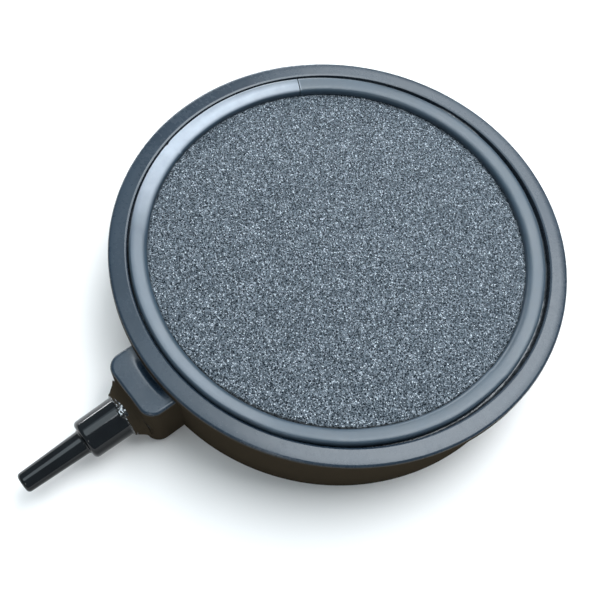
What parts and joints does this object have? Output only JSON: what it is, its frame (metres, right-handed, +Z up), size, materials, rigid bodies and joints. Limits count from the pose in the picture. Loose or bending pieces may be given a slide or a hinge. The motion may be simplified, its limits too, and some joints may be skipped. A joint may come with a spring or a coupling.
{
  "type": "air stone",
  "caption": "Flat round air stone: bonded mineral disc held by a rubber edge strip in a shallow moulded tray, with a side boss and a stepped airline spigot.",
  "frame": {"origin": "centre of the tray's flat underside", "axes": "+Z points up out of the stone's face, and the airline spigot points along -Y"},
  "size_m": [0.107, 0.1404, 0.023],
  "materials": {
    "abs_slate": "satin moulded",
    "mineral": "granular, open-pored",
    "strip_rubber": "smooth extruded",
    "glue_dark": "glossy where it pooled",
    "abs_black": "polished",
    "cement_clear": "glossy, uneven"
  },
  "bodies": {
    "root": {"tray": "abs_slate", "stone_disc": "mineral", "edge_strip": "strip_rubber", "strip_adhesive": "glue_dark", "inlet_nozzle": "abs_black", "nozzle_cement": "cement_clear"}
  },
  "joints": []
}
